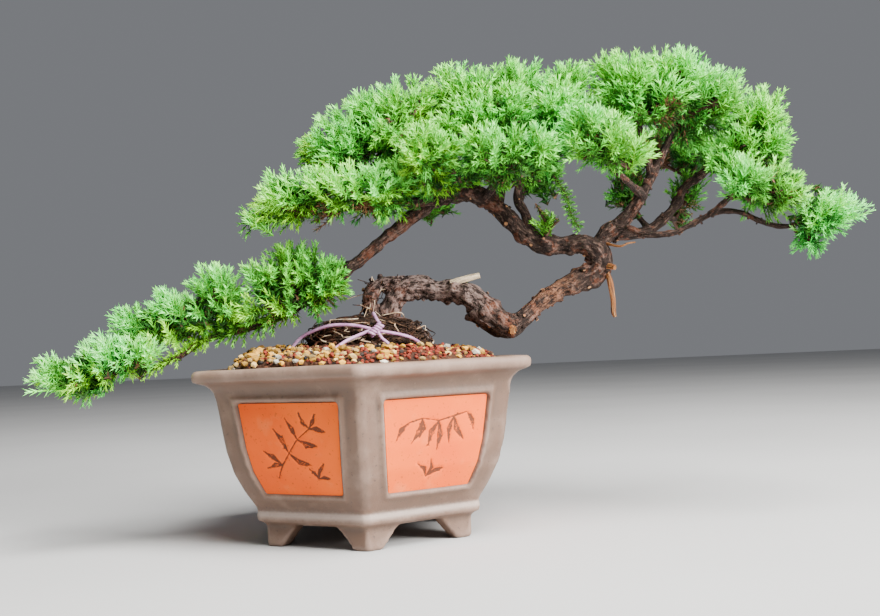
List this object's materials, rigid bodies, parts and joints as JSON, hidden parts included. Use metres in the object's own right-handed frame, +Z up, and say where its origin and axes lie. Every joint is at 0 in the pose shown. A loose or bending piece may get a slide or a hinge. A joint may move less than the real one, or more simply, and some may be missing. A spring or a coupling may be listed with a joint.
{
  "type": "juniper bonsai in a six-sided clay pot",
  "caption": "Semi-cascade juniper bonsai: a twisted trunk with dead stubs carries needled foliage pads and a long low branch over a six-sided clay pot on bracket feet.",
  "frame": {"origin": "on the ground plane under the middle of the whole tree's box; the pot's axis stands 60 mm to the -X side of it", "axes": "+Z up; +X the way the crown leans, with the cascading branch towards -X; -Y towards the viewer, and one corner of the pot points that way"},
  "size_m": [0.5108, 0.2288, 0.3086],
  "materials": {
    "pot_clay": "matte",
    "panel_clay": "matte",
    "soil": "matte",
    "bark": "matte",
    "wire_cover": "satin",
    "needles": "satin",
    "screen_plastic": "matte"
  },
  "bodies": {
    "root": {"pot": "pot_clay", "pot_panel_1": "panel_clay", "pot_panel_2": "panel_clay", "pot_panel_3": "panel_clay", "pot_panel_4": "panel_clay", "pot_panel_5": "panel_clay", "pot_panel_6": "panel_clay", "drain_screen": "screen_plastic", "soil_and_gravel": "soil", "tie_wire": "wire_cover", "juniper_wood": "bark", "foliage_cascade_inner": "needles", "foliage_cascade_mid": "needles", "foliage_cascade_tip": "needles", "foliage_left_low": "needles", "foliage_left_upper": "needles", "foliage_left_front": "needles", "foliage_crown_left": "needles", "foliage_crown_front": "needles", "foliage_crown_mid": "needles", "foliage_front_centre": "needles", "foliage_apex_left": "needles", "foliage_apex_right": "needles", "foliage_right_upper": "needles", "foliage_right_mid": "needles", "foliage_right_tip": "needles", "foliage_under_centre": "needles", "foliage_under_left": "needles", "foliage_inner_right": "needles", "foliage_back_left": "needles", "foliage_back_middle": "needles", "foliage_back_right": "needles", "foliage_trunk_tuft": "needles", "foliage_inner_low": "needles"}
  },
  "joints": []
}
